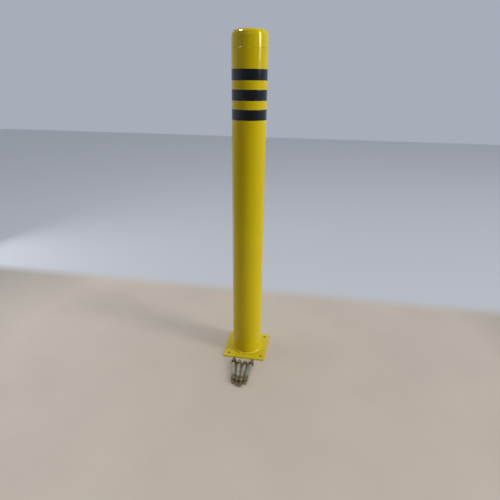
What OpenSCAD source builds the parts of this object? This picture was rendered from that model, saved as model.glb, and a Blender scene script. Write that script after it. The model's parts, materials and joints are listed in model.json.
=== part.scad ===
// Fixed steel bollard: a tube welded on a square bolt-down base plate, closed by a moulded cap and
// ringed by three tape bands, with its four sleeve anchors lying loose in front of the plate.
// Millimetres, +Z up. Origin: centre of the plate's underside, X and Y along the plate's edges.

/* [Post tube] */
// Outer diameter of the tube
tube_d = 101.6; // [76:0.1:125]
// Wall thickness of the tube
tube_wall = 3; // [2:0.5:6]
// Height of the tube's top edge above the ground
tube_top = 996; // [600:1:1400]

/* [Base plate] */
// Length of each side of the plate
plate_side = 150; // [145:1:220]
// Thickness of the plate
plate_t = 5; // [4:1:12]
// Radius of the plate's corners
plate_corner_r = 6; // [1:1:12]
// Distance of each hole's centre from the plate's two nearest edges
hole_inset = 17; // [13:0.5:18]
// Clearance all round an anchor sleeve in its plate hole
hole_clear = 0.5; // [0.3:0.1:1]
// Leg length of the weld bead between tube and plate
weld_leg = 5; // [3:0.5:6]
// How far the bead's face stands out beyond a flat fillet
weld_bulge = 0.7; // [0:0.1:1.2]

/* [Top cap] */
// Height of the cap above the tube's top edge
cap_h = 47; // [40:1:60]
// Width of the cap's rounded shoulder, measured inwards
shoulder_w = 14.5; // [6:0.1:20]
// Height of the cap's rounded shoulder
shoulder_h = 19.5; // [15:0.1:36]
// Rise of the cap's domed top
dome_h = 2; // [1:0.5:4]
// Wall thickness of the cap's top
cap_wall = 3; // [2:0.5:4]
// Depth of the cap's spigot inside the tube
spigot_depth = 25; // [15:1:50]
// Wall thickness of the spigot
spigot_wall = 2.5; // [2:0.5:4]
// Gap between the spigot and the tube's inner wall
spigot_clear = 0.6; // [0.3:0.1:1]
// Gap between the spigot's grip ribs and the tube's inner wall
rib_clear = 0.05; // [0.05:0.01:0.15]
// Width of each grip rib
rib_w = 2; // [1:0.5:4]
// Number of grip ribs round the spigot
rib_count = 8; // [4:1:12]

/* [Tape bands] */
// Width of each band
band_w = 28.5; // [15:0.5:36]
// Plain stretch between two bands
band_gap = 23.6; // [10:0.1:60]
// Distance of the top band's upper edge below the tube's top edge
band_drop = 52.5; // [10:0.5:150]
// Thickness of the tape
band_t = 0.3; // [0.2:0.1:0.6]
// Length by which the tape's end overlaps its start
band_lap = 18; // [5:1:40]

/* [Sleeve anchors] */
// Diameter of the threaded stud
stud_d = 10; // [8:0.5:12]
// Length of the stud
stud_l = 116; // [110:1:160]
// Chamfer at both ends of the stud
stud_chamfer = 1; // [0.5:0.1:1.5]
// Running clearance all round the stud in the sleeve and in the nut
run_clear = 0.08; // [0.04:0.01:0.1]
// Wall thickness of the sleeve
sleeve_wall = 1.42; // [0.7:0.01:1.5]
// Length of the sleeve
sleeve_l = 55; // [40:1:60]
// Width of the sleeve's rolled seam
seam_w = 0.8; // [0.4:0.1:1.5]
// Width of the slots that let the sleeve spread
slot_w = 1.2; // [0.6:0.1:2]
// Length of those slots
slot_l = 24; // [10:1:35]
// Length of the cone nut
cone_l = 18; // [14:1:24]
// Length of the cone nut's tapered nose
nose_l = 10; // [5:1:12]
// Wall thickness of the cone nut at the end of its nose
nose_wall = 0.5; // [0.4:0.05:0.6]
// Diameter of the washer
washer_d = 19; // [19:0.5:30]
// Thickness of the washer
washer_t = 2; // [1.5:0.1:3]
// Clearance all round the stud in the washer
washer_clear = 0.25; // [0.2:0.05:0.6]
// Width of the hexagon nut across its flats
nut_flats = 16; // [16:0.5:19]
// Height of the hexagon nut
nut_h = 8.4; // [6:0.1:10]

/* [Lying anchors] */
// Gap between two washers that lie side by side
washer_gap = 1.1; // [0.3:0.1:3]
// Gap between two cone nuts that lie side by side
cone_gap = 1.1; // [0.6:0.1:3]
// Sideways shift of the row of washers from the plate's middle
washer_shift = 2.9; // [-20:0.1:20]
// Sideways shift of the row of cone nuts from the plate's middle
cone_shift = 6.7; // [-20:0.1:20]

/* [Hidden] */
ANCHORS = 4;
BANDS = ["band_upper", "band_middle", "band_lower"];

$fn = 96;
ARC_STEP = 6;       // degrees between two points of a curved outline
CUT = 1;            // how far a cutting tool runs past what it cuts

PAINT = "gold";
CAP_PLASTIC = "yellow";
TAPE = [0.12, 0.12, 0.14];
GOLD_ZINC = "darkgoldenrod";
BRIGHT_ZINC = "silver";

tube_r = tube_d / 2;
bore_r = tube_r - tube_wall;
hole_offset = plate_side / 2 - hole_inset;

spigot_r = bore_r - spigot_clear;
cap_inner_r = spigot_r - spigot_wall;
cap_top = tube_top + cap_h;
shoulder_top = cap_top - dome_h;
shoulder_foot = shoulder_top - shoulder_h;
dome_base_r = tube_r - shoulder_w;
dome_ball_r = (dome_base_r * dome_base_r + dome_h * dome_h) / (2 * dome_h);
dome_half_angle = asin(dome_base_r / dome_ball_r);
DOME_STEPS = 8;

stud_r = stud_d / 2;
sleeve_bore_r = stud_r + run_clear;
sleeve_r = sleeve_bore_r + sleeve_wall;
hole_r = sleeve_r + hole_clear;
washer_r = washer_d / 2;
nut_corner_r = nut_flats / 2 / cos(30);
NUT_CHAMFER = 30;   // degrees between the nut's chamfer and its end face
nut_chamfer_h = (nut_corner_r - nut_flats / 2) * tan(NUT_CHAMFER);

// How each anchor lies: distance of its washer from the plate's front edge, thread that stands out
// behind its nut, gap between its washer and its sleeve, and turn of its sleeve's seam
STAND_OFF = [35, 42, 43, 37];
STUD_BEHIND = [9, 9, 6, 13];
SLEEVE_GAP = [8, 5, 4, 7];
SEAM_TURN = [35, 200, 150, 60];

// Distances along the anchor from its washer's front face: the cone nut's end and the stud's tip
function reach(i) = SLEEVE_GAP[i] + sleeve_l + cone_l;
function tip_reach(i) = stud_l - stud_chamfer - STUD_BEHIND[i] - nut_h - washer_t;
// An anchor lies on its washer's rim and on whichever of those two meets the ground first
function tilt(i) = min(
    atan((washer_r - sleeve_r) / reach(i)),
    atan((washer_r - stud_r) / tip_reach(i)));
// Place number i of a row that is centred on shift
function row_x(i, pitch, shift) = shift + (i - (ANCHORS - 1) / 2) * pitch;
function washer_x(i) = row_x(i, washer_d + washer_gap, washer_shift);
function cone_x(i) = row_x(i, 2 * sleeve_r + cone_gap, cone_shift);
function yaw(i) = asin((cone_x(i) - washer_x(i)) / reach(i));

// Quarter ellipse from its foot, out at radius r, up to its top
function shoulder(r, w, foot, h) =
    [for (a = [0:ARC_STEP:90]) [r - w + w * cos(a), foot + h * sin(a)]];
// Top of the cap from the shoulder's end to the axis
function dome() =
    [for (k = [1:DOME_STEPS])
        let (a = dome_half_angle * (1 - k / DOME_STEPS))
        [k == DOME_STEPS ? 0 : dome_ball_r * sin(a), cap_top - dome_ball_r * (1 - cos(a))]];

module ring(outer_r, inner_r, h) {
    difference() {
        cylinder(r = outer_r, h = h);
        translate([0, 0, -CUT]) cylinder(r = inner_r, h = h + 2 * CUT);
    }
}

// Tube standing on the plate
module post_tube() {
    color(PAINT)
    translate([0, 0, plate_t])
    ring(tube_r, bore_r, tube_top - plate_t);
}

// Square outline with round corners
module plate_outline() {
    inner = plate_side / 2 - plate_corner_r;
    square([plate_side, 2 * inner], center = true);
    square([2 * inner, plate_side], center = true);
    for (x = [-inner, inner], y = [-inner, inner]) translate([x, y]) circle(r = plate_corner_r);
}

module base_plate() {
    color(PAINT)
    difference() {
        linear_extrude(plate_t) plate_outline();
        for (x = [-hole_offset, hole_offset], y = [-hole_offset, hole_offset])
            translate([x, y, -CUT]) cylinder(r = hole_r, h = plate_t + 2 * CUT);
    }
}

// Fillet weld with a slightly crowned face
module base_weld() {
    crown = [for (k = [0:ARC_STEP])
        let (t = k / ARC_STEP, bulge = weld_bulge * sin(180 * t) / sqrt(2))
        [tube_r + weld_leg * (1 - t) + bulge, plate_t + weld_leg * t + bulge]];
    color(PAINT)
    rotate_extrude() polygon(concat([[tube_r, plate_t]], crown));
}

// Hollow cap, flush with the tube, with a ribbed spigot that grips inside it
module top_cap() {
    spigot_foot = tube_top - spigot_depth;
    inner_h = shoulder_h - cap_wall;
    inner_w = cap_inner_r - dome_base_r + cap_wall;
    outside = concat(
        [[cap_inner_r, spigot_foot], [spigot_r, spigot_foot], [spigot_r, tube_top], [tube_r, tube_top]],
        shoulder(tube_r, shoulder_w, shoulder_foot, shoulder_h),
        dome());
    inside = shoulder(cap_inner_r, inner_w, shoulder_foot, inner_h);
    color(CAP_PLASTIC) {
        rotate_extrude()
        polygon(concat(
            outside,
            [[0, shoulder_foot + inner_h]],
            [for (k = [len(inside) - 1:-1:0]) inside[k]]));
        for (k = [0:rib_count - 1])
            rotate([0, 0, k * 360 / rib_count])
            translate([spigot_r - spigot_wall / 2, -rib_w / 2, spigot_foot])
            cube([bore_r - rib_clear - spigot_r + spigot_wall / 2, rib_w, spigot_depth]);
    }
}

// Tape wound once round the tube, its end lapped over its start at the back
module band(k) {
    band_z = tube_top - band_drop - band_w - k * (band_w + band_gap);
    lap_angle = band_lap / (PI * tube_d) * 360;
    color(TAPE)
    translate([0, 0, band_z]) {
        ring(tube_r + band_t, tube_r, band_w);
        rotate([0, 0, 90 - lap_angle / 2])
        rotate_extrude(angle = lap_angle)
        translate([tube_r + band_t / 2, 0])
        square([1.5 * band_t, band_w]);
    }
}

// Stands a piece whose axis is Z, with the washer's front face at 0, where anchor i lies
module lay(i) {
    translate([washer_x(i), -plate_side / 2 - STAND_OFF[i], washer_r * cos(tilt(i))])
    rotate([0, 0, yaw(i)])
    rotate([90 + tilt(i), 0, 0])
    children();
}

// Stud with its thread drawn as a plain rod of the thread's outer diameter
module anchor_stud(i) {
    color(GOLD_ZINC)
    lay(i)
    translate([0, 0, -washer_t - nut_h - STUD_BEHIND[i]])
    rotate_extrude()
    polygon([
        [0, 0], [stud_r - stud_chamfer, 0], [stud_r, stud_chamfer],
        [stud_r, stud_l - stud_chamfer], [stud_r - stud_chamfer, stud_l], [0, stud_l]]);
}

// Nut at the stud's far end, whose tapered nose spreads the sleeve
module anchor_cone_nut(i) {
    color(GOLD_ZINC)
    lay(i)
    translate([0, 0, SLEEVE_GAP[i] + sleeve_l])
    rotate_extrude()
    polygon([
        [stud_r, 0], [stud_r + nose_wall, 0], [sleeve_r, nose_l],
        [sleeve_r, cone_l], [stud_r, cone_l]]);
}

// Rolled sleeve with an open seam and three slots at its cone end
module anchor_sleeve(i) {
    color(BRIGHT_ZINC)
    lay(i)
    translate([0, 0, SLEEVE_GAP[i]])
    rotate([0, 0, SEAM_TURN[i]])
    difference() {
        ring(sleeve_r, sleeve_bore_r, sleeve_l);
        translate([0, -seam_w / 2, -CUT]) cube([2 * sleeve_r, seam_w, sleeve_l + 2 * CUT]);
        for (a = [90, 180, 270])
            rotate([0, 0, a])
            translate([0, -slot_w / 2, sleeve_l - slot_l])
            cube([2 * sleeve_r, slot_w, slot_l + CUT]);
    }
}

module anchor_washer(i) {
    color(GOLD_ZINC)
    lay(i)
    translate([0, 0, -washer_t])
    ring(washer_r, stud_r + washer_clear, washer_t);
}

// Hexagon nut with both ends chamfered
module anchor_nut(i) {
    color(GOLD_ZINC)
    lay(i)
    translate([0, 0, -washer_t - nut_h])
    difference() {
        intersection() {
            cylinder(r = nut_corner_r, h = nut_h, $fn = 6);
            rotate_extrude()
            polygon([
                [0, 0], [nut_flats / 2, 0], [nut_corner_r, nut_chamfer_h],
                [nut_corner_r, nut_h - nut_chamfer_h], [nut_flats / 2, nut_h], [0, nut_h]]);
        }
        translate([0, 0, -CUT]) cylinder(r = stud_r + run_clear, h = nut_h + 2 * CUT);
    }
}

post_tube();
base_plate();
base_weld();
top_cap();
for (k = [0:len(BANDS) - 1])
    band(k);
for (i = [0:ANCHORS - 1]) {
    anchor_stud(i);
    anchor_cone_nut(i);
    anchor_sleeve(i);
    anchor_washer(i);
    anchor_nut(i);
}
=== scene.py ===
"""Looks of a bolt-down steel bollard: a powder-coated tube welded on a square plate, a moulded cap,
three bands of black tape, and four zinc-plated sleeve anchors that lie in front of the plate.

Lengths are in metres, +Z is up, and the origin is the centre of the plate's underside.
"""

import json
import math

import bmesh
import bpy
from mathutils import Matrix, Vector


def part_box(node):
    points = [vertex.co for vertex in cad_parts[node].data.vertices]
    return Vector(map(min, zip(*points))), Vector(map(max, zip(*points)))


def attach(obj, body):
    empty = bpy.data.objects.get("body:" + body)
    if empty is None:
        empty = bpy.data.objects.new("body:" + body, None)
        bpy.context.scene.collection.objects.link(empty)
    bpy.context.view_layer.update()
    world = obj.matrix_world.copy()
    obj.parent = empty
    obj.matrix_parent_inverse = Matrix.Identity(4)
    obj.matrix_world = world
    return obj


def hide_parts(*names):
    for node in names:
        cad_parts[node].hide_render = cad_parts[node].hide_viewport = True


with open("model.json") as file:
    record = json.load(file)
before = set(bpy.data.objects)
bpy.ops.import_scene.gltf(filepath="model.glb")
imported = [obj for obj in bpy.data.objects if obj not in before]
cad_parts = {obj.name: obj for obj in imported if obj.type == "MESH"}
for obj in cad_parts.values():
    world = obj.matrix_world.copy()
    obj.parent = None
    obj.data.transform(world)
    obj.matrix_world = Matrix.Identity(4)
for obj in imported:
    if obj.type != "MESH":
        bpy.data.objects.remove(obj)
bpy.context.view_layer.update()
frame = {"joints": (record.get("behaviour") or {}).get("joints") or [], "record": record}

MM = 0.001

# Sizes that the frame gives
TUBE_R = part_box("post_tube")[1].x
TUBE_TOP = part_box("post_tube")[1].z
PLATE_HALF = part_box("base_plate")[1].x
PLATE_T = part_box("base_plate")[1].z
WELD_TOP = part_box("base_weld")[1].z
SPIGOT_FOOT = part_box("top_cap")[0].z
CAP_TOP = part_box("top_cap")[1].z
MOUNTS = {mount["name"]: mount for mount in frame["record"]["mounts"]}
JOINTS = {joint["name"]: joint for joint in frame["joints"]}
HOLE_R = MOUNTS["plate_holes"]["dims"]["hole_r_mm"] * MM
HOLE_OFFSET = MOUNTS["plate_holes"]["dims"]["spacing_x_mm"] * MM / 2
ANCHORS = (1, 2, 3, 4)

# Sizes of the looks alone
TUBE_WALL = 3 * MM
TUBE_STEPS = 256
TUBE_EDGE_R = 0.8 * MM
HOLD = 0.3 * MM             # from a rounding to the ring of points that keeps the wall beside it straight
EDGE_R = 0.9 * MM           # paint-softened edge of the plate and its holes
PLATE_CORNER_R = 6 * MM
CAP_WALL = 3 * MM
CAP_SHOULDER_W = 14.5 * MM
CAP_SHOULDER_H = 19.5 * MM
CAP_DOME_H = 2 * MM
CAP_LIP_R = 1.1 * MM        # rounding of the cap's lower rim, which draws the seam line
SPIGOT_WALL = 2.5 * MM
SPIGOT_GAP = 0.6 * MM
SPIGOT_CHAMFER_W = 0.5 * MM
SPIGOT_CHAMFER_H = 1 * MM
RIB_COUNT = 8
RIB_W = 2 * MM
RIB_CLEAR = 0.05 * MM       # between a rib's crest and the tube's bore
RIB_LEAD = 3 * MM           # height over which a rib rises to its crest
RIB_STOP = 0.5 * MM         # how far a rib ends below the tube's top
GATE_R = 3 * MM             # disc left by the mould's gate on the cap's top
GATE_DEPTH = 0.35 * MM
GATE_SLOPE_W = 0.4 * MM
TAPE_T = 0.28 * MM
TAPE_EDGE = 0.25 * MM
TAPE_LAP = 18 * MM
TAPE_STEP = 1.5 * MM        # length of the step where the tape's end climbs onto its start
TAPE_GLUE = 0.01 * MM
TAPE_STEPS = 288
WELD_SINK = 0.3 * MM
WELD_BULGE = 0.7 * MM
WELD_ARC_STEPS = 8
WELD_RIPPLES = 130
WELD_RIPPLE_SHARE = 0.05    # how much a ripple's hollow takes from the bead's leg
WELD_UNEVEN_SHARE = 0.14    # how much chance takes from it
WELD_SEED = 4.0
THREAD_PITCH = 1.5 * MM
THREAD_DEPTH = 0.92 * MM
THREAD_STEPS = 28
STUD_TIP = 1.2 * MM         # chamfer of the stud's ends
NUT_BORE_R = 4.3 * MM
NUT_SINK = 0.8 * MM
NUT_FACE_SHARE = 0.96       # radius of a nut's flat face, as a share of half its width across flats
NUT_TURN = [math.radians(a) for a in (12, 41, 27, 3)]
WASHER_BORE_R = 5.25 * MM
WASHER_ROLL = 0.45 * MM
WASHER_BURR = 0.2 * MM      # chamfer on the side that the punch left
SLEEVE_WALL = 1.35 * MM
SLEEVE_SEAM = 0.8 * MM
SEAM_TURN = [math.radians(a) for a in (35, 200, 150, 60)]
SLOT_W = 1.2 * MM
SLOT_L = 24 * MM
SLEEVE_EDGE_R = 0.12 * MM
CONE_NOSE_WALL = 0.45 * MM
CONE_RIB_L = 8 * MM
CONE_RIB_GAP = 0.5 * MM     # plain length between the nose and the grip ribs
CONE_CHAMFER = 0.4 * MM
CONE_SINK = 0.5 * MM
KNURL_H = 0.3 * MM
KNURL_COUNT = 28
KNURL_FOOT = 0.2 * MM       # how deep a grip rib's foot sits in the cone nut
KNURL_RISE = 0.3 * MM
KNURL_FALL = 0.5 * MM
KNURL_SHARE = 0.42          # a rib's width at its foot, as a share of the ribs' spacing
KNURL_CREST_SHARE = 0.35    # a rib's width at its crest, as a share of that at its foot

# View and light
CAMERA_AT = (0.1946, -1.1658, 0.9095)
CAMERA_HEADING = (-0.1587, 0.9873)
CAMERA_PITCH = 23.58
CAMERA_ROLL = 0.69
CAMERA_LENS = 27.62
DEEP_SIDE = (-0.663, -0.749, 0.0)   # where the room's light is dimmest
DIM_FRONT = (0.26, -0.966, 0.0)     # where its reflection is dimmest
# Lamps that light every surface: name, place, target, width, height, power and colour
ROOM_LAMPS = (
    ("window", (5.35, -1.40, 2.62), (0.0, 0.0, 1.0), 1.4, 2.6, 148.0, "#FFFFFF"),
    ("ceiling", (-0.6, 0.6, 2.8), (0.0, 0.2, 0.0), 2.5, 2.5, 11.0, "#FFFFFF"),
    ("left_wall", (-1.7, 0.2, 0.7), (0.0, 0.0, 0.6), 1.2, 1.2, 6.5, "#F4F6FF"),
)
# Lamps that only show as glints: name, place, side and power
GLINT_LAMPS = (
    ("lamp_left", (-1.36, -0.12, 2.92), 0.55, 65.0),
    ("lamp_front", (0.16, -2.29, 2.12), 0.2, 14.0),
    ("lamp_right", (1.97, -0.17, 2.61), 0.35, 34.0),
)


# ---------------------------------------------------------------- small tools

def hex_colour(text):
    """sRGB hex text as linear RGBA."""
    def linear(channel):
        return channel / 12.92 if channel <= 0.04045 else ((channel + 0.055) / 1.055) ** 2.4
    return (*(linear(int(text[k:k + 2], 16) / 255) for k in (1, 3, 5)), 1.0)


def add(tree, kind, inputs=None, **settings):
    """Adds a node. inputs gives sockets their values, or the sockets that feed them."""
    node = tree.nodes.new(kind)
    for name, value in settings.items():
        setattr(node, name, value)
    for key, value in (inputs or {}).items():
        if isinstance(value, bpy.types.NodeSocket):
            tree.links.new(value, node.inputs[key])
        else:
            node.inputs[key].default_value = value
    return node


def tidy_mesh(mesh, sharp_degrees=35):
    """Merges doubled points, turns the faces outwards, and shades smooth but for sharp edges."""
    shape = bmesh.new()
    shape.from_mesh(mesh)
    bmesh.ops.remove_doubles(shape, verts=shape.verts, dist=1e-7)
    bmesh.ops.recalc_face_normals(shape, faces=shape.faces)
    shape.to_mesh(mesh)
    shape.free()
    mesh.shade_smooth()
    mesh.set_sharp_from_angle(angle=math.radians(sharp_degrees))


def mesh_piece(name, points, faces, edges=(), sharp_degrees=35):
    """A mesh at the origin from its points, and its faces or bare edges."""
    mesh = bpy.data.meshes.new(name)
    mesh.from_pydata([tuple(p) for p in points], edges, faces)
    if faces:
        tidy_mesh(mesh, sharp_degrees)
    piece = bpy.data.objects.new(name, mesh)
    bpy.context.scene.collection.objects.link(piece)
    return piece


def lathe(profile, steps, wrap):
    """Points and faces of a profile of (radius, height) turned about Z. wrap joins its last point to
    its first."""
    points, rings = [], []
    for radius, height in profile:
        if radius < 1e-9:
            rings.append([len(points)] * steps)
            points.append((0, 0, height))
            continue
        rings.append(list(range(len(points), len(points) + steps)))
        for k in range(steps):
            angle = 2 * math.pi * k / steps
            points.append((radius * math.cos(angle), radius * math.sin(angle), height))
    faces = []
    pairs = list(zip(rings, rings[1:])) + ([(rings[-1], rings[0])] if wrap else [])
    for low, high in pairs:
        for k in range(steps):
            after = (k + 1) % steps
            corners = [low[k], low[after], high[after], high[k]]
            face = list(dict.fromkeys(corners))
            if len(face) > 2:
                faces.append(face)
    return points, faces


def arc(centre, radius, start, end, steps):
    """Points of a round corner, angles in degrees, centre as (radius, height)."""
    return [
        (centre[0] + radius * math.cos(math.radians(a)), centre[1] + radius * math.sin(math.radians(a)))
        for a in (start + (end - start) * k / steps for k in range(steps + 1))
    ]


def outline_edges(count):
    """Edges of a closed outline of this many points."""
    return [(k, (k + 1) % count) for k in range(count)]


def join_meshes(piece, other):
    """Adds another piece's mesh to this one and drops the other."""
    shape = bmesh.new()
    shape.from_mesh(piece.data)
    shape.from_mesh(other.data)
    shape.to_mesh(piece.data)
    shape.free()
    bpy.data.objects.remove(other)


def place(piece, matrix):
    """Moves a piece by moving its mesh, so that its object stays at the origin."""
    piece.data.transform(matrix)
    piece.data.update()
    return piece


def hand_over(piece, node, body, material):
    """Gives a finished piece its one material and its body, and lets it stand for its CAD node."""
    piece.data.materials.clear()
    piece.data.materials.append(material)
    piece.data.polygons.foreach_set("material_index", [0] * len(piece.data.polygons))
    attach(piece, body)
    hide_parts(node)


def plain_mesh(piece):
    """Applies a piece's modifiers: its evaluated mesh becomes its own, and the modifiers go."""
    depsgraph = bpy.context.evaluated_depsgraph_get()
    mesh = bpy.data.meshes.new_from_object(piece.evaluated_get(depsgraph), depsgraph=depsgraph)
    piece.modifiers.clear()
    piece.data = mesh
    return piece


def run_nodes(piece, tree, values):
    """Runs a Geometry Nodes tree on a piece with these inputs, and keeps the result as a plain mesh."""
    modifier = piece.modifiers.new(tree.name, "NODES")
    modifier.node_group = tree
    identifiers = {
        item.name: item.identifier
        for item in tree.interface.items_tree
        if item.item_type == "SOCKET" and item.in_out == "INPUT"
    }
    for name, value in values.items():
        modifier[identifiers[name]] = value
    return plain_mesh(piece)


def new_tree(name, inputs):
    """A Geometry Nodes tree with a mesh in, a mesh out and these named inputs (name, socket type)."""
    tree = bpy.data.node_groups.new(name, "GeometryNodeTree")
    tree.interface.new_socket("Geometry", in_out="INPUT", socket_type="NodeSocketGeometry")
    for label, kind in inputs:
        tree.interface.new_socket(label, in_out="INPUT", socket_type=kind)
    tree.interface.new_socket("Geometry", in_out="OUTPUT", socket_type="NodeSocketGeometry")
    return tree, add(tree, "NodeGroupInput")


def close_tree(tree, source, geometry):
    """Ends a tree: instances become real, the material is set, and the mesh goes out."""
    real = add(tree, "GeometryNodeRealizeInstances", {"Geometry": geometry})
    dressed = add(tree, "GeometryNodeSetMaterial", {
        "Geometry": real.outputs[0],
        "Material": source.outputs["Material"],
    })
    add(tree, "NodeGroupOutput", {0: dressed.outputs[0]})


def maths(tree, operation, first, second=0.0):
    """The result of one sum on two numbers or sockets."""
    return add(tree, "ShaderNodeMath", {0: first, 1: second}, operation=operation).outputs[0]


# ------------------------------------------------------------------ materials

def new_material(name):
    """An empty material with a Principled shader. Returns material, tree and shader."""
    material = bpy.data.materials.new(name)
    material.use_nodes = True
    tree = material.node_tree
    tree.nodes.clear()
    shader = add(tree, "ShaderNodeBsdfPrincipled")
    add(tree, "ShaderNodeOutputMaterial", {"Surface": shader.outputs[0]})
    return material, tree, shader


def noise(tree, place_socket, grain, detail):
    """Noise whose blotches are about grain metres across."""
    return add(
        tree, "ShaderNodeTexNoise", {"Vector": place_socket, "Scale": 1 / grain, "Detail": detail}
    ).outputs["Fac"]


def ramp(tree, factor, stops):
    """A colour for a factor, from (position, hex colour) stops."""
    node = add(tree, "ShaderNodeValToRGB", {"Fac": factor})
    elements = node.color_ramp.elements
    while len(elements) < len(stops):
        elements.new(0.5)
    for element, (position, colour) in zip(elements, stops):
        element.position = position
        element.color = hex_colour(colour)
    return node.outputs["Color"]


def span(tree, factor, low, high, start=0.0, end=1.0):
    """A factor stretched from start..end onto low..high, and kept there."""
    return add(
        tree, "ShaderNodeMapRange",
        {"Value": factor, "From Min": start, "From Max": end, "To Min": low, "To Max": high},
    ).outputs["Result"]


def bump(tree, height, depth, below=None):
    """Bump of this depth in metres, laid over the normal of a coarser one."""
    inputs = {"Height": height, "Distance": depth}
    if below is not None:
        inputs["Normal"] = below
    return add(tree, "ShaderNodeBump", inputs).outputs["Normal"]


def blend_colours(tree, factor, first, second):
    """Mixes two colours. A Mix node's colour sockets are its numbers 6 and 7, and its third output."""
    return add(tree, "ShaderNodeMix", {0: factor, 6: first, 7: second}, data_type="RGBA").outputs[2]


def object_place(tree):
    """Object coordinates, which are metres in the object's own frame."""
    return add(tree, "ShaderNodeTexCoord").outputs["Object"]


def join_to_shader(tree, shader, **sockets):
    """Links results to the shader's sockets, underscores standing for the spaces in their names."""
    for name, result in sockets.items():
        tree.links.new(result, shader.inputs[name.replace("_", " ")])


def yellow_powder_coat():
    """Polyester powder coat on steel, sprayed and baked. It gives a deep yellow whose reflections wobble
    softly (flow waves of 30 mm) over an orange peel of 3 mm, and faint dust near the ground."""
    material, tree, shader = new_material("yellow_powder_coat_on_steel")
    where = object_place(tree)
    height = add(tree, "ShaderNodeSeparateXYZ", {"Vector": where}).outputs["Z"]
    cloud = noise(tree, where, 90 * MM, 3.0)
    specks = noise(tree, where, 2 * MM, 4.0)
    low_down = span(tree, height, 0.5, 0.0, 0.0, 40 * MM)
    dust = maths(tree, "MULTIPLY", low_down, span(tree, specks, 0.0, 0.35, 0.45, 0.75))
    paint = ramp(tree, cloud, [(0.3, "#D9BF00"), (0.7, "#DDC600")])
    join_to_shader(
        tree, shader,
        Base_Color=blend_colours(tree, dust, paint, hex_colour("#C9BE92")),
        Roughness=span(tree, cloud, 0.14, 0.20),
        Normal=bump(tree, noise(tree, where, 3 * MM, 1.0), 0.012 * MM,
                    bump(tree, noise(tree, where, 30 * MM, 1.0), 0.08 * MM)),
    )
    shader.inputs["IOR"].default_value = 1.45
    shader.inputs["Specular Tint"].default_value = hex_colour("#FFF6C4")
    return material


def yellow_moulded_cap():
    """Polyethylene, injection moulded in a polished tool. It gives a smoother and slightly clearer yellow
    than the paint, with a sharp highlight and hair scratches drawn 0.4 mm wide so that they show."""
    material, tree, shader = new_material("yellow_moulded_polyethylene")
    where = object_place(tree)
    tone = noise(tree, where, 60 * MM, 2.0)
    stretched = add(
        tree, "ShaderNodeMapping", {"Vector": where, "Scale": (1.0, 0.12, 1.0), "Rotation": (0.3, 0.5, 0.9)}
    ).outputs[0]
    scratches = span(tree, noise(tree, stretched, 0.4 * MM, 1.0), 0.0, 1.0, 0.62, 0.72)
    join_to_shader(
        tree, shader,
        Base_Color=ramp(tree, tone, [(0.3, "#DBC200"), (0.7, "#DFC800")]),
        Roughness=span(tree, scratches, 0.07, 0.16),
        Normal=bump(tree, noise(tree, where, 22 * MM, 1.0), 0.12 * MM),
    )
    shader.inputs["IOR"].default_value = 1.51
    shader.inputs["Specular Tint"].default_value = hex_colour("#FFF6C4")
    return material


def black_vinyl_tape():
    """Calendered vinyl tape, wound on by hand. It gives a near-black satin with a cool sheen at the
    rims, a leather-fine calender grain of 1.5 mm and slow waves where it was pulled tight."""
    material, tree, shader = new_material("black_calendered_vinyl")
    where = object_place(tree)
    grain = noise(tree, where, 1.5 * MM, 2.0)
    waves = noise(tree, where, 14 * MM, 1.0)
    join_to_shader(
        tree, shader,
        Base_Color=ramp(tree, grain, [(0.35, "#101114"), (0.7, "#17181C")]),
        Roughness=span(tree, waves, 0.09, 0.14),
        Normal=bump(tree, grain, 0.012 * MM, bump(tree, waves, 0.06 * MM)),
    )
    shader.inputs["IOR"].default_value = 1.54
    return material


def yellow_zinc():
    """Carbon steel, zinc plated and yellow passivated. It gives a dull grey gold that drifts to olive and
    brown over 4 mm, as the passivation's thickness does, on a slightly rough drawn surface."""
    material, tree, shader = new_material("yellow_passivated_zinc")
    where = object_place(tree)
    film = noise(tree, where, 4 * MM, 2.0)
    grain = noise(tree, where, 0.7 * MM, 2.0)
    shades = [(0.32, "#7F7762"), (0.45, "#A99E82"), (0.58, "#8F8369"), (0.7, "#74664F")]
    join_to_shader(
        tree, shader,
        Base_Color=ramp(tree, film, shades),
        Roughness=span(tree, grain, 0.24, 0.40),
        Normal=bump(tree, grain, 0.02 * MM),
    )
    shader.inputs["Metallic"].default_value = 1.0
    return material


def bright_zinc():
    """Rolled strip steel, zinc plated and clear passivated. It gives a pale silver with a hint of
    straw, and fine rolling lines along the sleeve."""
    material, tree, shader = new_material("clear_passivated_zinc")
    where = object_place(tree)
    stretched = add(tree, "ShaderNodeMapping", {"Vector": where, "Scale": (1.0, 0.08, 1.0)}).outputs[0]
    lines = noise(tree, stretched, 0.9 * MM, 2.0)
    film = noise(tree, where, 9 * MM, 2.0)
    join_to_shader(
        tree, shader,
        Base_Color=ramp(tree, film, [(0.35, "#D3D0C2"), (0.65, "#BCB9A4")]),
        Roughness=span(tree, lines, 0.22, 0.36),
        Normal=bump(tree, lines, 0.012 * MM),
    )
    shader.inputs["Metallic"].default_value = 1.0
    return material


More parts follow.
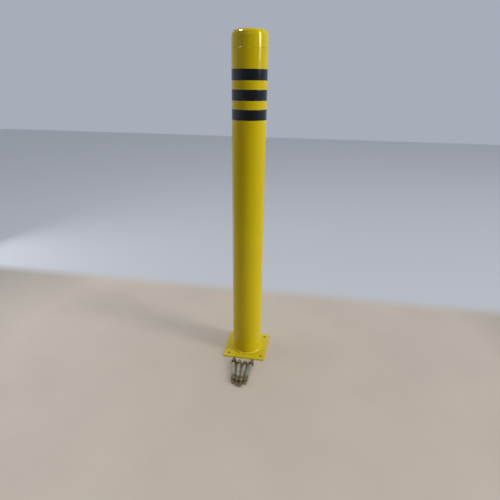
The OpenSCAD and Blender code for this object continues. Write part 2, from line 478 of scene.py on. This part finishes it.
def pale_floor():
    """Plain sealed board. It gives a warm pale ground that turns to cool grey behind the post, and a
    shade deeper far from it: painted shade, standing in for the weaker light on the floor away from the post."""
    material, tree, shader = new_material("pale_floor")
    where = object_place(tree)
    depth = add(tree, "ShaderNodeSeparateXYZ", {"Vector": where}).outputs["Y"]
    away = add(tree, "ShaderNodeVectorMath", {0: where}, operation="LENGTH").outputs["Value"]
    board = ramp(tree, noise(tree, where, 0.25, 3.0), [(0.3, "#C9BCAC"), (0.7, "#CFC2B1")])
    # painted shade: the board darkens from 0.9 m to 1.5 m away from the post, for the weaker light out there
    board_with_painted_shade = blend_colours(tree, span(tree, away, 0.0, 1.0, 0.9, 1.5), board, hex_colour("#9C9388"))
    join_to_shader(
        tree, shader,
        Base_Color=blend_colours(tree, span(tree, depth, 0.0, 1.0, 0.38, 0.46), board_with_painted_shade, hex_colour("#CDCFD3")),
    )
    shader.inputs["Roughness"].default_value = 0.6
    return material


# ----------------------------------------------------------- nodes that repeat

def ring_of_copies():
    """Copies of the mesh that comes in, evenly turned about Z."""
    tree, source = new_tree("ring_of_copies", [("Count", "NodeSocketInt"), ("Material", "NodeSocketMaterial")])
    count = source.outputs["Count"]
    spots = add(tree, "GeometryNodeMeshLine", {"Count": count, "Offset": (0, 0, 0)})
    index = add(tree, "GeometryNodeInputIndex").outputs[0]
    turn = maths(tree, "MULTIPLY", maths(tree, "DIVIDE", index, count), 2 * math.pi)
    copies = add(tree, "GeometryNodeInstanceOnPoints", {
        "Points": spots.outputs[0],
        "Instance": source.outputs["Geometry"],
        "Rotation": add(tree, "ShaderNodeCombineXYZ", {"Z": turn}).outputs[0],
    })
    close_tree(tree, source, copies.outputs[0])
    return tree


def screw_thread():
    """A right-hand thread round the core that comes in, which stands on the origin along Z. Its ridge is
    swept along a helix and fades out at both ends."""
    tree, source = new_tree("screw_thread", [
        ("Root radius", "NodeSocketFloat"),
        ("Depth", "NodeSocketFloat"),
        ("Pitch", "NodeSocketFloat"),
        ("Length", "NodeSocketFloat"),
        ("Steps per turn", "NodeSocketInt"),
        ("Material", "NodeSocketMaterial"),
    ])
    root, depth, pitch, length = (source.outputs[k] for k in ("Root radius", "Depth", "Pitch", "Length"))
    helix = add(tree, "GeometryNodeCurveSpiral", {
        "Resolution": source.outputs["Steps per turn"],
        "Rotations": maths(tree, "DIVIDE", length, pitch),
        "Start Radius": root,
        "End Radius": root,
        "Height": length,
        "Reverse": True,
    })
    along = add(tree, "GeometryNodeSplineParameter").outputs["Length"]
    whole = add(tree, "GeometryNodeSplineLength").outputs["Length"]
    to_end = maths(tree, "MINIMUM", along, maths(tree, "SUBTRACT", whole, along))
    half_turn = maths(tree, "MULTIPLY", root, math.pi)
    fade = maths(tree, "MAXIMUM", maths(tree, "MINIMUM", maths(tree, "DIVIDE", to_end, half_turn), 1.0), 0.05)
    upright = add(tree, "GeometryNodeSetCurveNormal", {"Curve": helix.outputs[0]}, mode="Z_UP")
    ridge = add(tree, "GeometryNodeCurvePrimitiveQuadrilateral", {
        "Bottom Width": maths(tree, "MULTIPLY", pitch, 0.88),
        "Top Width": maths(tree, "MULTIPLY", pitch, 0.14),
        "Height": maths(tree, "MULTIPLY", depth, 1.15),
        "Offset": 0.0,
    }, mode="TRAPEZOID")
    lift = add(tree, "ShaderNodeCombineXYZ", {"X": maths(tree, "MULTIPLY", depth, 0.425)})
    outwards = add(tree, "GeometryNodeTransform", {
        "Geometry": ridge.outputs[0],
        "Translation": lift.outputs[0],
        "Rotation": (0, 0, -math.pi / 2),
    })
    swept = add(tree, "GeometryNodeCurveToMesh", {
        "Curve": upright.outputs[0],
        "Profile Curve": outwards.outputs[0],
        "Scale": fade,
        "Fill Caps": True,
    })
    both = add(tree, "GeometryNodeJoinGeometry", {0: source.outputs["Geometry"]})
    tree.links.new(swept.outputs[0], both.inputs[0])
    close_tree(tree, source, both.outputs[0])
    return tree


def weld_bead():
    """A weld bead: the outline that comes in, swept round a circle, with a ripple for each pulse of the
    torch and an uneven leg."""
    tree, source = new_tree("weld_bead", [
        ("Radius", "NodeSocketFloat"),
        ("Ripples", "NodeSocketInt"),
        ("Ripple share", "NodeSocketFloat"),
        ("Uneven share", "NodeSocketFloat"),
        ("Seed", "NodeSocketFloat"),
        ("Material", "NodeSocketMaterial"),
    ])
    ripples = source.outputs["Ripples"]
    circle = add(tree, "GeometryNodeCurvePrimitiveCircle", {
        "Resolution": maths(tree, "MULTIPLY", ripples, 6.0),
        "Radius": source.outputs["Radius"],
    })
    factor = add(tree, "GeometryNodeSplineParameter").outputs["Factor"]
    phase = maths(tree, "MULTIPLY", maths(tree, "MULTIPLY", factor, ripples), math.pi)
    hollow = maths(tree, "SUBTRACT", 1.0, maths(tree, "ABSOLUTE", maths(tree, "SINE", phase)))
    chance = add(tree, "ShaderNodeTexNoise", {
        "Vector": add(tree, "GeometryNodeInputPosition").outputs[0],
        "W": source.outputs["Seed"],
        "Scale": 1 / (9 * MM),
        "Detail": 2.0,
    }, noise_dimensions="4D").outputs["Fac"]
    loss = maths(
        tree, "ADD",
        maths(tree, "MULTIPLY", hollow, source.outputs["Ripple share"]),
        maths(tree, "MULTIPLY", chance, source.outputs["Uneven share"]),
    )
    upright = add(tree, "GeometryNodeSetCurveNormal", {"Curve": circle.outputs[0]}, mode="Z_UP")
    outline = add(tree, "GeometryNodeMeshToCurve", {"Mesh": source.outputs["Geometry"]})
    bead = add(tree, "GeometryNodeCurveToMesh", {
        "Curve": upright.outputs[0],
        "Profile Curve": outline.outputs[0],
        "Scale": maths(tree, "SUBTRACT", 1.0, loss),
        "Fill Caps": False,
    })
    close_tree(tree, source, bead.outputs[0])
    return tree


# ----------------------------------------------------------------- the post

def build_tube(paint):
    """The tube, open at both ends, its top cut end rounded by the paint."""
    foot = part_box("post_tube")[0].z
    bore_r = TUBE_R - TUBE_WALL
    profile = [(bore_r, foot), (TUBE_R, foot)]
    profile += [(TUBE_R, foot + k * (TUBE_TOP - foot) / 12) for k in range(1, 12)]
    profile += [(TUBE_R, TUBE_TOP - TUBE_EDGE_R - HOLD)]
    profile += arc((TUBE_R - TUBE_EDGE_R, TUBE_TOP - TUBE_EDGE_R), TUBE_EDGE_R, 0, 90, 4)
    profile += [(bore_r, TUBE_TOP)]
    profile += [(bore_r, foot + k * (TUBE_TOP - foot) / 12) for k in range(11, 0, -1)]
    points, faces = lathe(profile, TUBE_STEPS, True)
    hand_over(mesh_piece("tube_shell", points, faces), "post_tube", "post", paint)


def build_plate(paint):
    """The square plate with round corners and four holes, every edge softened by the paint."""
    shape = bmesh.new()
    inner = PLATE_HALF - PLATE_CORNER_R
    corners = []
    for k, (x, y) in enumerate(((inner, inner), (-inner, inner), (-inner, -inner), (inner, -inner))):
        corners += arc((x, y), PLATE_CORNER_R, 90 * k, 90 * k + 90, 12)
    loops = [corners]
    for x in (-HOLE_OFFSET, HOLE_OFFSET):
        for y in (-HOLE_OFFSET, HOLE_OFFSET):
            loops.append(arc((x, y), HOLE_R, 0, 360, 64)[:-1])
    edges = []
    for loop in loops:
        ring = [shape.verts.new((x, y, 0)) for x, y in loop]
        edges += [shape.edges.new((ring[a], ring[b])) for a, b in outline_edges(len(ring))]
    filled = bmesh.ops.triangle_fill(shape, use_beauty=True, edges=edges)
    flat = [face for face in filled["geom"] if isinstance(face, bmesh.types.BMFace)]
    raised = bmesh.ops.extrude_face_region(shape, geom=flat)
    top = [point for point in raised["geom"] if isinstance(point, bmesh.types.BMVert)]
    bmesh.ops.translate(shape, verts=top, vec=(0, 0, PLATE_T))
    mesh = bpy.data.meshes.new("plate")
    shape.to_mesh(mesh)
    shape.free()
    tidy_mesh(mesh)
    piece = bpy.data.objects.new("plate", mesh)
    bpy.context.scene.collection.objects.link(piece)
    soft = piece.modifiers.new("soft_edges", "BEVEL")
    soft.width = EDGE_R
    soft.segments = 3
    soft.limit_method = "ANGLE"
    soft.harden_normals = True
    hand_over(plain_mesh(piece), "base_plate", "post", paint)


def build_weld(paint, bead_tree):
    """The fillet weld between tube and plate. Its outline is (outwards, downwards) from its inner corner."""
    leg = WELD_TOP - PLATE_T
    outline = [(-WELD_SINK, 0), (leg, 0)]
    for k in range(1, WELD_ARC_STEPS):
        share = k / WELD_ARC_STEPS
        bulge = WELD_BULGE * math.sin(math.pi * share) / math.sqrt(2)
        outline.append((leg * (1 - share) + bulge, -leg * share - bulge))
    outline += [(0, -leg), (-WELD_SINK, -leg)]
    piece = mesh_piece("weld_fillet", [(x, y, 0) for x, y in outline], [], outline_edges(len(outline)))
    run_nodes(piece, bead_tree, {
        "Radius": TUBE_R,
        "Ripples": WELD_RIPPLES,
        "Ripple share": WELD_RIPPLE_SHARE,
        "Uneven share": WELD_UNEVEN_SHARE,
        "Seed": WELD_SEED,
        "Material": paint,
    })
    tidy_mesh(piece.data, 60)
    place(piece, Matrix.Translation((0, 0, PLATE_T)))
    hand_over(piece, "base_weld", "post", paint)


def build_cap(plastic, ring_tree):
    """The hollow cap: rounded lower rim, elliptic shoulder, low dome with a gate disc, and ribbed spigot."""
    spigot_r = TUBE_R - TUBE_WALL - SPIGOT_GAP
    inner_r = spigot_r - SPIGOT_WALL
    dome_foot = CAP_TOP - CAP_DOME_H
    shoulder_foot = dome_foot - CAP_SHOULDER_H
    dome_r = TUBE_R - CAP_SHOULDER_W
    ball_r = (dome_r ** 2 + CAP_DOME_H ** 2) / (2 * CAP_DOME_H)
    profile = [(spigot_r - SPIGOT_CHAMFER_W, SPIGOT_FOOT), (spigot_r, SPIGOT_FOOT + SPIGOT_CHAMFER_H),
               (spigot_r, TUBE_TOP)]
    profile += arc((TUBE_R - CAP_LIP_R, TUBE_TOP + CAP_LIP_R), CAP_LIP_R, -90, 0, 6)
    profile += [(TUBE_R, TUBE_TOP + CAP_LIP_R + HOLD), (TUBE_R, shoulder_foot - HOLD)]
    for k in range(49):
        turn = math.radians(90 * k / 48)
        profile.append((
            dome_r + CAP_SHOULDER_W * math.cos(turn),
            shoulder_foot + CAP_SHOULDER_H * math.sin(turn),
        ))
    slope = math.asin(dome_r / ball_r)
    for k in range(1, 12):
        turn = slope * (1 - k / 12)
        radius = ball_r * math.sin(turn)
        if radius > GATE_R + GATE_SLOPE_W:
            profile.append((radius, CAP_TOP - ball_r * (1 - math.cos(turn))))
    profile += [(GATE_R + GATE_SLOPE_W, CAP_TOP), (GATE_R, CAP_TOP - GATE_DEPTH), (0, CAP_TOP - GATE_DEPTH)]
    inside_top = dome_foot - CAP_WALL
    profile += [(0, inside_top)]
    for k in range(1, 25):
        turn = math.radians(90 - 90 * k / 24)
        profile.append((
            dome_r - CAP_WALL + (inner_r - dome_r + CAP_WALL) * math.cos(turn),
            shoulder_foot + (CAP_SHOULDER_H - CAP_WALL) * math.sin(turn),
        ))
    profile += [(inner_r, SPIGOT_FOOT)]
    points, faces = lathe(profile, TUBE_STEPS, True)
    shell = mesh_piece("cap_shell", points, faces)
    rib_out = TUBE_R - TUBE_WALL - RIB_CLEAR
    rib_in = spigot_r - SPIGOT_WALL / 2
    rib_foot, rib_top = SPIGOT_FOOT + SPIGOT_CHAMFER_H, TUBE_TOP - RIB_STOP
    rib = [(rib_in, rib_foot), (spigot_r, rib_foot), (rib_out, rib_foot + RIB_LEAD),
           (rib_out, rib_top), (rib_in, rib_top)]
    points = [(x, side * RIB_W / 2, z) for side in (-1, 1) for x, z in rib]
    count = len(rib)
    faces = [list(range(count)), list(range(count, 2 * count))]
    faces += [[a, b, b + count, a + count] for a, b in outline_edges(count)]
    ribs = mesh_piece("cap_ribs", points, faces)
    run_nodes(ribs, ring_tree, {"Count": RIB_COUNT, "Material": plastic})
    join_meshes(shell, ribs)
    hand_over(shell, "top_cap", "post", plastic)


def build_band(node, tape):
    """One band: a strip of tape wound round the tube, its end stepping up onto its start at the back."""
    low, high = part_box(node)[0].z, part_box(node)[1].z
    half_lap = TAPE_LAP / TUBE_R / 2
    start = math.pi / 2 + half_lap
    whole = 2 * math.pi + 2 * half_lap
    step_up = TAPE_STEP / TUBE_R
    section = [(0, low), (TAPE_T * 0.6, low), (TAPE_T, low + TAPE_EDGE), (TAPE_T, low + TAPE_EDGE + HOLD),
               (TAPE_T, high - TAPE_EDGE - HOLD), (TAPE_T, high - TAPE_EDGE), (TAPE_T * 0.6, high), (0, high)]
    points, faces = [], []
    for k in range(TAPE_STEPS + 1):
        turned = whole * k / TAPE_STEPS
        lifted = min(max((turned - (2 * math.pi - step_up)) / step_up, 0), 1)
        for out, z in section:
            radius = TUBE_R + TAPE_GLUE + out + lifted * (TAPE_T + TAPE_GLUE)
            angle = start - whole + turned
            points.append((radius * math.cos(angle), radius * math.sin(angle), z))
    count = len(section)
    for k in range(TAPE_STEPS):
        for a, b in outline_edges(count):
            faces.append([k * count + a, k * count + b, (k + 1) * count + b, (k + 1) * count + a])
    faces += [list(range(count)), list(range(TAPE_STEPS * count, (TAPE_STEPS + 1) * count))]
    piece = mesh_piece(node.replace("band", "tape"), points, faces, sharp_degrees=50)
    hand_over(piece, node, "post", tape)


# -------------------------------------------------------------- the anchors

def anchor_place(number):
    """Where an anchor lies: Z runs along its axis towards its tip, X is level, and 0 is the nut's middle."""
    joint = JOINTS[f"nut_{number}_turn"]
    along = Vector(joint["axis"]).normalized()
    level = Vector((0, 0, 1)).cross(along).normalized()
    up = along.cross(level)
    turned = Matrix((level, up, along)).transposed().to_4x4()
    return Matrix.Translation(Vector(joint["pos_m"])) @ turned


def reach_of(node, lay):
    """Lowest and highest point of a CAD node along an anchor's axis, and its largest radius about it."""
    back = lay.inverted()
    points = [back @ corner.co for corner in bpy.data.objects[node].data.vertices]
    heights = [point.z for point in points]
    return min(heights), max(heights), max(math.hypot(point.x, point.y) for point in points)


def build_stud(number, lay, zinc, thread_tree):
    """The threaded rod, chamfered at both ends."""
    node = f"anchor_stud_{number}"
    low, high, radius = reach_of(node, lay)
    root = radius - THREAD_DEPTH
    length = high - low
    tip = root - STUD_TIP
    profile = [(0, 0), (tip, 0), (root, STUD_TIP), (root, length - STUD_TIP), (tip, length), (0, length)]
    points, faces = lathe(profile, 40, False)
    piece = mesh_piece(f"threaded_stud_{number}", points, faces)
    place(piece, Matrix.Translation((0, 0, -STUD_TIP)))
    run_nodes(piece, thread_tree, {
        "Root radius": root,
        "Depth": THREAD_DEPTH,
        "Pitch": THREAD_PITCH,
        "Length": length - 2 * STUD_TIP,
        "Steps per turn": THREAD_STEPS,
        "Material": zinc,
    })
    tidy_mesh(piece.data, 30)
    place(piece, lay @ Matrix.Translation((0, 0, low + STUD_TIP)))
    hand_over(piece, node, f"stud_{number}", zinc)


def build_nut(number, lay, zinc):
    """The hexagon nut: both faces have a chamfer that cuts the corners in arcs, and the bore is countersunk."""
    node = f"anchor_nut_{number}"
    low, high, corner_r = reach_of(node, lay)
    flat_r = corner_r * math.cos(math.radians(30))
    face_r = flat_r * NUT_FACE_SHARE
    sink_r = NUT_BORE_R + NUT_SINK
    chamfer = math.tan(math.radians(30))
    steps = 144
    rings = []
    for k in range(steps):
        angle = 2 * math.pi * k / steps
        edge = flat_r / math.cos((angle + math.pi / 6) % (math.pi / 3) - math.pi / 6)
        drop = (edge - face_r) * chamfer
        rings.append([
            (NUT_BORE_R, low + NUT_SINK), (sink_r, low), (face_r, low), (edge, low + drop),
            (edge, high - drop), (face_r, high), (sink_r, high), (NUT_BORE_R, high - NUT_SINK),
        ])
    points, faces = [], []
    for k, ring in enumerate(rings):
        angle = 2 * math.pi * k / steps
        points += [(r * math.cos(angle), r * math.sin(angle), z) for r, z in ring]
    count = len(rings[0])
    for k in range(steps):
        after = (k + 1) % steps
        for a, b in outline_edges(count):
            faces.append([k * count + a, after * count + a, after * count + b, k * count + b])
    piece = mesh_piece(f"hex_nut_{number}", points, faces, sharp_degrees=25)
    place(piece, lay @ Matrix.Rotation(NUT_TURN[number - 1], 4, "Z"))
    hand_over(piece, node, f"nut_{number}", zinc)


def build_washer(number, lay, zinc):
    """The stamped washer, rounded on the side that the punch entered."""
    node = f"anchor_washer_{number}"
    low, high, radius = reach_of(node, lay)
    profile = [(WASHER_BORE_R, low), (radius - WASHER_BURR, low), (radius, low + WASHER_BURR)]
    profile += arc((radius - WASHER_ROLL, high - WASHER_ROLL), WASHER_ROLL, 0, 90, 5)
    profile += arc((WASHER_BORE_R + WASHER_ROLL, high - WASHER_ROLL), WASHER_ROLL, 90, 180, 5)
    points, faces = lathe(profile, 96, True)
    piece = place(mesh_piece(f"flat_washer_{number}", points, faces), lay)
    hand_over(piece, node, f"washer_{number}", zinc)


def build_sleeve(number, lay, zinc):
    """The sleeve, rolled from strip: an open seam along it and three slots cut up from its far end."""
    node = f"anchor_sleeve_{number}"
    low, high, radius = reach_of(node, lay)
    seam, slot = SLEEVE_SEAM / radius, SLOT_W / radius
    cuts = [(0, seam, low)] + [(math.pi / 2 * k, slot, high - SLOT_L) for k in (1, 2, 3)]
    angles = []
    for k in range(4):
        begin = math.pi / 2 * k + cuts[k][1] / 2
        end = math.pi / 2 * (k + 1) - cuts[(k + 1) % 4][1] / 2
        angles += [begin + (end - begin) * m / 16 for m in range(17)]
    heights = [low + (high - SLOT_L - low) * m / 12 for m in range(13)]
    heights += [high - SLOT_L + SLOT_L * m / 10 for m in range(1, 11)]
    points = [(radius * math.cos(a), radius * math.sin(a), z) for z in heights for a in angles]
    count = len(angles)
    faces = []
    for row in range(len(heights) - 1):
        slotted = heights[row] >= high - SLOT_L - 1e-9
        for k in range(count - 1):
            in_slot = k % 17 == 16
            if not (in_slot and slotted):
                base = row * count + k
                faces.append([base, base + 1, base + count + 1, base + count])
    piece = mesh_piece(f"rolled_sleeve_{number}", points, faces)
    wall = piece.modifiers.new("wall", "SOLIDIFY")
    wall.thickness = SLEEVE_WALL
    wall.offset = -1
    plain_mesh(piece)
    tidy_mesh(piece.data, 50)
    edges = piece.modifiers.new("broken_edges", "BEVEL")
    edges.width = SLEEVE_EDGE_R
    edges.segments = 2
    edges.limit_method = "ANGLE"
    edges.angle_limit = math.radians(50)
    edges.harden_normals = True
    plain_mesh(piece)
    place(piece, lay @ Matrix.Rotation(SEAM_TURN[number - 1], 4, "Z"))
    hand_over(piece, node, f"sleeve_{number}", zinc)


def build_cone_nut(number, lay, zinc, ring_tree):
    """The cone nut: tapered nose, straight back end with fine grip ribs rolled along it."""
    node = f"anchor_cone_nut_{number}"
    low, high, radius = reach_of(node, lay)
    rib_low = high - CONE_RIB_L
    body_r = radius - KNURL_H
    profile = [(NUT_BORE_R, low), (NUT_BORE_R + CONE_NOSE_WALL, low), (body_r, rib_low - CONE_RIB_GAP),
               (body_r, high - CONE_CHAMFER), (body_r - CONE_CHAMFER, high), (NUT_BORE_R + CONE_SINK, high),
               (NUT_BORE_R, high - CONE_SINK)]
    points, faces = lathe(profile, 72, True)
    piece = mesh_piece(f"cone_nut_{number}", points, faces)
    half = math.pi * radius / KNURL_COUNT * KNURL_SHARE
    ends = ((rib_low - KNURL_RISE, 0.0), (rib_low + KNURL_RISE, 1.0),
            (high - CONE_CHAMFER - KNURL_FALL, 1.0), (high - CONE_CHAMFER, 0.0))
    points = []
    for z, share in ends:
        crest = body_r + KNURL_H * share
        crest_half = half * KNURL_CREST_SHARE
        points += [(body_r - KNURL_FOOT, -half, z), (crest, -crest_half, z), (crest, crest_half, z),
                   (body_r - KNURL_FOOT, half, z)]
    faces = [[0, 1, 2, 3], [12, 13, 14, 15]]
    for k in range(3):
        faces += [[4 * k + a, 4 * k + b, 4 * k + 4 + b, 4 * k + 4 + a] for a, b in outline_edges(4)]
    ribs = mesh_piece(f"cone_ribs_{number}", points, faces)
    run_nodes(ribs, ring_tree, {"Count": KNURL_COUNT, "Material": zinc})
    join_meshes(piece, ribs)
    place(piece, lay)
    hand_over(piece, node, f"stud_{number}", zinc)


# ------------------------------------------------------------------- set up

def build_floor(board):
    """A wide plain floor, which isn't part of the bollard."""
    half = 6.0
    floor = mesh_piece(
        "floor", [(-half, -half, 0), (half, -half, 0), (half, half, 0), (-half, half, 0)], [[0, 1, 2, 3]]
    )
    floor.data.materials.append(board)


def facing(tree, way, side):
    """How nearly a direction points to a side: 1 at that side, -1 away from it."""
    return add(tree, "ShaderNodeVectorMath", {0: way, 1: side}, operation="DOT_PRODUCT").outputs["Value"]


def build_world():
    """A plain room: even grey for the view, dim and warm for the light where the room is deep, and for
    reflections cool at the sides and dim in front."""
    world = bpy.data.worlds.new("room")
    bpy.context.scene.world = world
    world.use_nodes = True
    tree = world.node_tree
    tree.nodes.clear()
    way = add(tree, "ShaderNodeTexCoord").outputs["Generated"]
    above = add(tree, "ShaderNodeSeparateXYZ", {0: way}).outputs["Z"]
    deep = span(tree, facing(tree, way, DEEP_SIDE), 0.0, 1.0, -0.25, 0.65)
    dim = span(tree, facing(tree, way, DIM_FRONT), 0.0, 1.0, -0.1, 1.0)
    lit = blend_colours(tree, deep, hex_colour("#B6BBC4"), hex_colour("#30251A"))
    mirrored = blend_colours(tree, dim, hex_colour("#AEBCCE"), hex_colour("#596468"))
    room = add(tree, "ShaderNodeBackground", {"Color": lit, "Strength": span(tree, above, 0.85, 1.8)})
    sheen = add(tree, "ShaderNodeBackground", {"Color": mirrored, "Strength": span(tree, above, 1.0, 0.6)})
    wall = add(tree, "ShaderNodeBackground", {"Color": hex_colour("#A7ADB9"), "Strength": 1.0})
    path = add(tree, "ShaderNodeLightPath").outputs
    light = add(tree, "ShaderNodeMixShader", {
        0: path["Is Glossy Ray"],
        1: room.outputs[0],
        2: sheen.outputs[0],
    })
    either = add(tree, "ShaderNodeMixShader", {
        0: path["Is Camera Ray"],
        1: light.outputs[0],
        2: wall.outputs[0],
    })
    add(tree, "ShaderNodeOutputWorld", {"Surface": either.outputs[0]})


def area_light(name, at, target, width, height, power, colour):
    """A flat lamp of width and height that faces its target and isn't seen itself."""
    lamp = bpy.data.lights.new(name, "AREA")
    lamp.shape = "RECTANGLE"
    lamp.size = width
    lamp.size_y = height
    lamp.energy = power
    lamp.color = hex_colour(colour)[:3]
    holder = bpy.data.objects.new(name, lamp)
    holder.location = at
    holder.visible_camera = False
    holder.rotation_euler = (Vector(target) - Vector(at)).to_track_quat("-Z", "Y").to_euler()
    bpy.context.scene.collection.objects.link(holder)
    return holder


def build_camera():
    """The camera looks down on the post from a little right of its front."""
    level = Vector(CAMERA_HEADING + (0.0,)).normalized()
    down = math.radians(CAMERA_PITCH)
    forward = level * math.cos(down) - Vector((0, 0, math.sin(down)))
    right = level.cross(Vector((0, 0, 1)))
    up = right.cross(forward)
    turned = Matrix((right, up, -forward)).transposed().to_4x4()
    camera = bpy.data.cameras.new("camera")
    camera.lens = CAMERA_LENS
    camera.sensor_width = 36.0
    camera.clip_start = 0.01
    holder = bpy.data.objects.new("camera", camera)
    holder.matrix_world = (
        Matrix.Translation(CAMERA_AT) @ turned @ Matrix.Rotation(math.radians(CAMERA_ROLL), 4, "Z")
    )
    bpy.context.scene.collection.objects.link(holder)
    bpy.context.scene.camera = holder


def build_post():
    """The post: tube, plate, weld, cap and bands, which move as one body."""
    paint = yellow_powder_coat()
    build_tube(paint)
    build_plate(paint)
    build_weld(paint, weld_bead())
    build_cap(yellow_moulded_cap(), ring_of_copies())
    tape = black_vinyl_tape()
    for node in ("band_upper", "band_middle", "band_lower"):
        build_band(node, tape)


def build_anchors():
    """The four loose anchors: stud with its cone nut, nut, washer and sleeve."""
    gold, bright = yellow_zinc(), bright_zinc()
    thread_tree, ring_tree = screw_thread(), ring_of_copies()
    for number in ANCHORS:
        lay = anchor_place(number)
        build_stud(number, lay, gold, thread_tree)
        build_nut(number, lay, gold)
        build_washer(number, lay, gold)
        build_sleeve(number, lay, bright)
        build_cone_nut(number, lay, gold, ring_tree)


def build_lights():
    """A tall window on the right, a soft ceiling, the glow of a wall low on the left, and three lamps
    that only show as glints."""
    for name, at, target, width, height, power, colour in ROOM_LAMPS:
        holder = area_light(name, at, target, width, height, power, colour)
        holder.visible_glossy = name != "left_wall"
    for name, at, size, power in GLINT_LAMPS:
        area_light(name, at, (0.0, 0.0, CAP_TOP), size, size, power, "#FFF6E0").visible_diffuse = False


build_post()
build_anchors()
build_floor(pale_floor())
build_world()
build_lights()
build_camera()
bpy.context.scene.view_settings.view_transform = "Standard"
